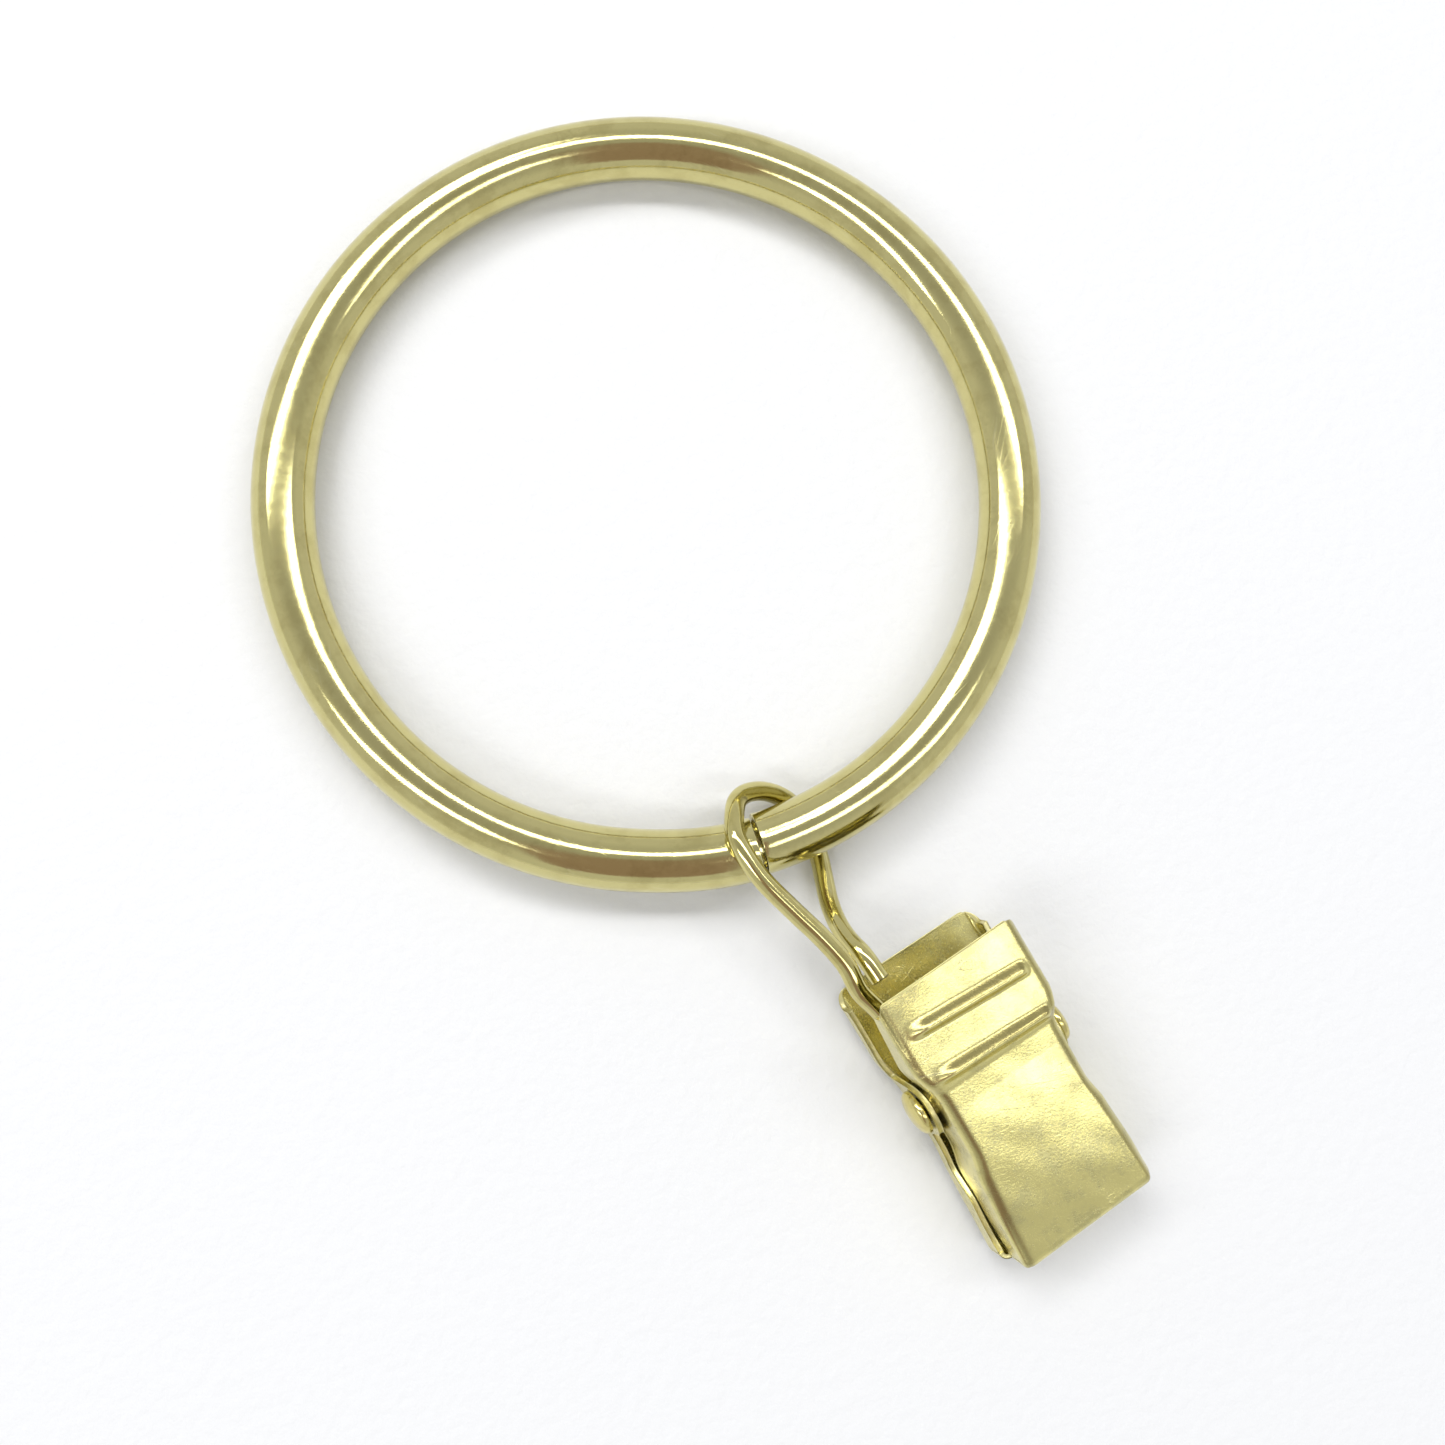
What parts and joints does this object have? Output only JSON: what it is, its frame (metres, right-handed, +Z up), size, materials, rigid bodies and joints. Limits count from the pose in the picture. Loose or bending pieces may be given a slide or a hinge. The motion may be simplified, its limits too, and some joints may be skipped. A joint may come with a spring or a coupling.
{
  "type": "curtain clip ring",
  "caption": "Plated metal curtain ring with a sliding wire eye and a sprung pinch clip that hangs cloth from a rod.",
  "frame": {"origin": "middle of the part's box, on the surface it lies on", "axes": "+Z up from that surface, +Y from the clip's lip through the ring, +X across the clip"},
  "size_m": [0.0602, 0.0936, 0.0115],
  "materials": {
    "ring_plating": "bright plated",
    "wire_plating": "bright plated",
    "clip_plating": "satin plated",
    "pin_plating": "bright plated",
    "spring_steel": "drawn wire"
  },
  "bodies": {
    "ring": {"ring": "ring_plating"},
    "eye": {"eye_wire": "wire_plating"},
    "pivot": {"pivot_pin": "pin_plating", "torsion_spring": "spring_steel"},
    "front_jaw": {"front_jaw": "clip_plating"},
    "back_jaw": {"back_jaw": "clip_plating"}
  },
  "joints": [
    {"name": "eye_travel", "type": "hinge", "parent": "ring", "child": "eye", "pos_m": [0, 0.0167, 0.00319], "axis": [0, 0.0292, 0.9996], "continuous": true},
    {"name": "clip_swing", "type": "hinge", "parent": "eye", "child": "pivot", "pos_m": [0.00815, -0.03247, 0.00454], "axis": [0.9777, 0.1914, -0.0868], "range_deg": [-4, 4]},
    {"name": "front_squeeze", "type": "hinge", "parent": "pivot", "child": "front_jaw", "pos_m": [0.00815, -0.03247, 0.00454], "axis": [-0.9777, -0.1914, 0.0868], "range_deg": [0, 12], "stiffness_Nm_per_rad": 0.005, "springref_deg": -5.73, "deforming": ["torsion_spring"]},
    {"name": "back_squeeze", "type": "hinge", "parent": "pivot", "child": "back_jaw", "pos_m": [0.00815, -0.03247, 0.00454], "axis": [0.9777, 0.1914, -0.0868], "range_deg": [0, 12], "stiffness_Nm_per_rad": 0.005, "springref_deg": -5.73}
  ],
  "couplings": [
    {"joint": "back_squeeze", "follows": "front_squeeze", "ratio": 1}
  ]
}
